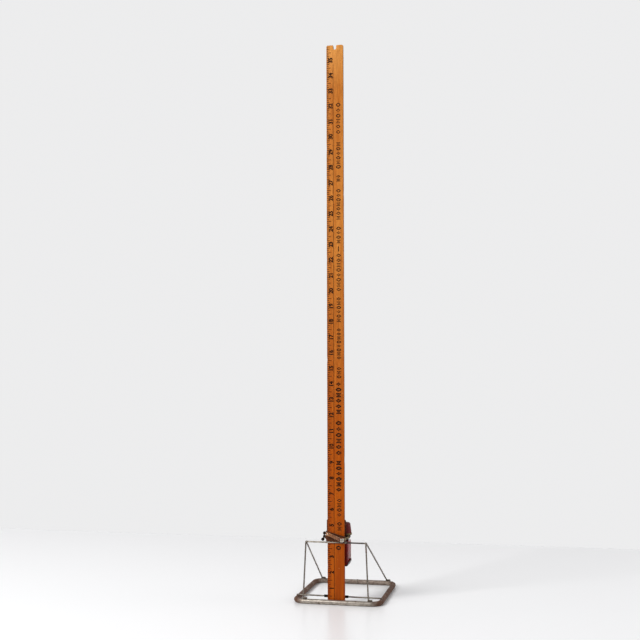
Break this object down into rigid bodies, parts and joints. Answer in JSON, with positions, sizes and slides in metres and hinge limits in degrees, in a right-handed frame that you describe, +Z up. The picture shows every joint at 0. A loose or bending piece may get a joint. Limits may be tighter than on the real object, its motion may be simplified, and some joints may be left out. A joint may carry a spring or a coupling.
{
  "type": "hem marker",
  "caption": "Upright hem marker: a wooden yardstick in a bent wire stand, with a sliding powder puffer head held by a wing screw.",
  "frame": {"origin": "centre of the yardstick's zero end, where it stands on the floor", "axes": "+X to the right along the front bar, +Y to the back of the stand, +Z up along the yardstick"},
  "size_m": [0.148, 0.191, 0.9144],
  "materials": {
    "bare_steel": "galvanised steel rod and wire with brown rust patina",
    "black_steel": "black japanned sheet",
    "varnished_wood": "orange-brown varnished hardwood with a printed scale",
    "dark_steel": "darkened, tarnished sheet steel",
    "nickel": "worn bright nickel plate",
    "old_brass": "dull olive-brown brass",
    "red_plastic": "deep red moulded plastic, glossy",
    "dark_plastic": "dark brown phenolic moulding",
    "maroon_rubber": "aged maroon rubber",
    "black_rubber": "soft black sealing rubber"
  },
  "bodies": {
    "stand": {"base_ring": "bare_steel", "left_side_wire": "bare_steel", "right_side_wire": "bare_steel", "top_cross_wire": "bare_steel", "ruler_keeper": "bare_steel", "rear_stop_wire": "bare_steel", "foot_clip": "black_steel", "weld_beads": "bare_steel"},
    "ruler": {"yardstick": "varnished_wood"},
    "head": {"slide_saddle": "dark_steel", "screw_boss": "dark_steel", "brace_strap": "nickel", "brace_rivet": "nickel", "nozzle_tube": "old_brass", "nozzle_tip": "nickel", "reservoir": "red_plastic", "valve_cup": "dark_plastic", "cup_band": "dark_steel", "mount_bracket": "dark_steel", "powder_screen": "old_brass", "air_tube": "old_brass", "bulb_rim": "old_brass", "bulb_wall": "maroon_rubber"},
    "pad": {"pressure_pad": "old_brass"},
    "screw": {"wing_screw": "dark_steel"},
    "crown": {"bulb_crown": "maroon_rubber"},
    "cap": {"filler_cap": "dark_plastic", "cap_gasket": "black_rubber"}
  },
  "joints": [
    {"name": "ruler_lift", "type": "slide", "parent": "stand", "child": "ruler", "axis": [0, 0, 1], "range_m": [0, 0.09]},
    {"name": "head_slide", "type": "slide", "parent": "ruler", "child": "head", "axis": [0, 0, 1], "range_m": [0, 0.76]},
    {"name": "pad_travel", "type": "slide", "parent": "head", "child": "pad", "axis": [0.9613, 0, -0.2756], "range_m": [0, 0.0003]},
    {"name": "wing_screw_turn", "type": "hinge", "parent": "pad", "child": "screw", "pos_m": [-0.01561, 0.0003, 0.107], "axis": [0.9613, 0, -0.2756], "range_deg": [0, 136]},
    {"name": "bulb_press", "type": "slide", "parent": "head", "child": "crown", "axis": [0, 0, -1], "range_m": [0, 0.008], "stiffness_N_per_m": 600, "deforming": ["bulb_wall"]},
    {"name": "cap_pull", "type": "slide", "parent": "head", "child": "cap", "axis": [0, 0, -1], "range_m": [0, 0.012]}
  ],
  "couplings": [
    {"joint": "wing_screw_turn", "follows": "pad_travel", "rad_per_m": 7854}
  ]
}
